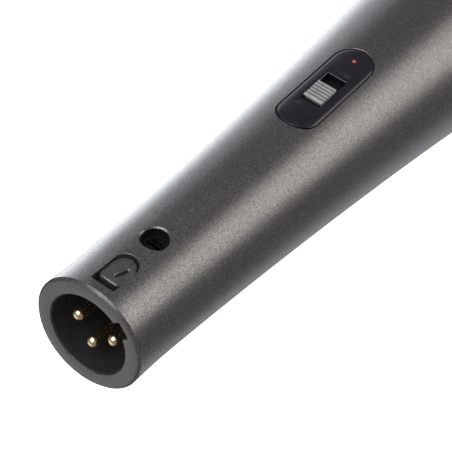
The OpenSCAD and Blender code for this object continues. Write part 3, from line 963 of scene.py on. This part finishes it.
def make_foam():
    """Foam lining of even thickness: a short skirt and a dome. Its pores are in the material."""
    top = high("foam_liner")
    thickness = 3.0
    skirt = math.radians(45)

    def face(inset):
        """Profile of the skirt and the dome, inset from the outer face."""
        radius, dome = top.y - inset, top.x - DOME_X - inset
        line = []
        for i in range(25):
            angle = -skirt + skirt * i / 24
            line.append((BALL_X + radius * math.sin(angle), radius * math.cos(angle)))
        for i in range(41):
            angle = math.pi / 2 * i / 40
            line.append((DOME_X + dome * math.sin(angle), radius * math.cos(angle)))
        return line

    foam = revolve("foam_lining", face(0) + face(thickness)[::-1], segments=160)
    stand_for(foam, "foam_liner", sharp_angle=60)


# ---------------------------------------------------------------- camera, lights, floor


def make_camera():
    """Behind the cable end, above and to one side, with a long lens."""
    data = bpy.data.cameras.new("camera")
    data.sensor_width = 36
    data.lens = 129.4
    data.clip_start = 0.01
    data.clip_end = 20
    right = Vector((0.5845, -0.7975, 0.1496)).normalized()
    forward = Vector((0.6371, 0.3369, -0.6932)).normalized()
    up = right.cross(forward)
    made = bpy.data.objects.new("camera", data)
    place = Matrix((right, up, -forward)).transposed().to_4x4()
    place.translation = Vector((-0.1545, -0.1037, 0.2103))
    made.matrix_world = place
    bpy.context.collection.objects.link(made)
    bpy.context.scene.camera = made


def area_light(name, towards, size, power, colour=(1, 1, 1)):
    """Soft box a metre from the microphone, in the given direction."""
    data = bpy.data.lights.new(name, "AREA")
    data.energy = power
    data.size = size
    data.color = colour
    made = bpy.data.objects.new(name, data)
    out = Vector(towards).normalized()
    made.location = Vector((0.05, 0, 0)) + out
    made.rotation_mode = "QUATERNION"
    made.rotation_quaternion = (-out).to_track_quat("-Z", "Y")
    bpy.context.collection.objects.link(made)


def across_handle(degrees):
    """Direction mirrored into the camera by some line along the handle."""
    turn = math.radians(degrees)
    return (0.679, 0.734 * math.sin(turn), 0.734 * math.cos(turn))


def make_light():
    """A dim studio with soft boxes, in front of a backdrop that is white to the camera."""
    world = bpy.data.worlds.new("studio")
    world.use_nodes = True
    tree = world.node_tree
    dim = tree.nodes["Background"]
    dim.inputs["Color"].default_value = (0.98, 0.86, 1.0, 1)
    dim.inputs["Strength"].default_value = 0.25
    backdrop = tree.nodes.new("ShaderNodeBackground")
    backdrop.inputs["Color"].default_value = (1, 1, 1, 1)
    path = tree.nodes.new("ShaderNodeLightPath")
    mix = tree.nodes.new("ShaderNodeMixShader")
    tree.links.new(path.outputs["Is Camera Ray"], mix.inputs[0])
    tree.links.new(dim.outputs[0], mix.inputs[1])
    tree.links.new(backdrop.outputs[0], mix.inputs[2])
    tree.links.new(mix.outputs[0], tree.nodes["World Output"].inputs["Surface"])
    bpy.context.scene.world = world
    area_light("key", (0.59, -0.6, 0.54), 0.62, 6.1, (1, 0.96, 0.89))
    area_light("back_low", across_handle(112), 0.6, 4.3, (0.93, 0.975, 1))
    area_light("back_high", across_handle(72), 0.5, 1.1, (0.97, 0.95, 1))
    area_light("front_low", across_handle(-160), 0.6, 0.55, (0.95, 0.98, 1))
    area_light("tail_low", (-0.637, 0.337, -0.693), 1.0, 1.9, (0.98, 1, 0.98))
    area_light("tail_top", (-0.72, 0.12, 0.68), 0.7, 12, (1, 0.95, 0.93))
    area_light("top", (-0.05, 0.25, 0.97), 0.7, 4.5)


def make_floor():
    """Pale floor that the head and the tail rest on."""
    band_x = (BAND_X + high("grille_band").x) / 2
    head_r, tail_r = high("grille_band").z, RIM_R
    tilt = math.asin((head_r - tail_r) / (band_x - 0.8))
    half = 1500.0
    corners = [(-half, -half, 0), (half, -half, 0), (half, half, 0), (-half, half, 0)]
    floor = mesh_object("floor", corners, [(0, 1, 2, 3)])
    down = Vector((-math.sin(tilt), 0, -math.cos(tilt)))
    touch = Vector((band_x, 0, 0)) + down * head_r
    floor.data.transform(
        Matrix.Translation(touch * MM) @ Matrix.Rotation(tilt, 4, "Y")
    )
    m = Nodes("floor_paper")
    m.set(Roughness=0.8)
    m.join(
        m.shades(m.noise(60, detail=3), [(0.3, grey(0.88)), (0.7, grey(0.92))]),
        m.shader.inputs["Base Color"],
    )
    m.set(Emission_Color=(1.0, 1.0, 1.0), Emission_Strength=0.95)
    floor.data.materials.append(m.material)
    floor.visible_glossy = False
    floor.visible_shadow = False


# ---------------------------------------------------------------- put together

for make in (
    make_camera, make_handle, make_insert, make_pins, make_latch_tab, make_locking_screw,
    make_switch_plate, make_marker, make_knob, make_grille, make_foam,
):
    make()
for name, node in frame["nodes"].items():
    # The switch shield is real black plastic, but it is dressed darker and duller than that plastic
    # as painted shade, so the slot reads as a dark void.
    dress(node, "painted_shade_black" if name == "switch_shield" else SLOT_OF[name])
make_light()
make_floor()
bpy.context.scene.view_settings.view_transform = "Standard"
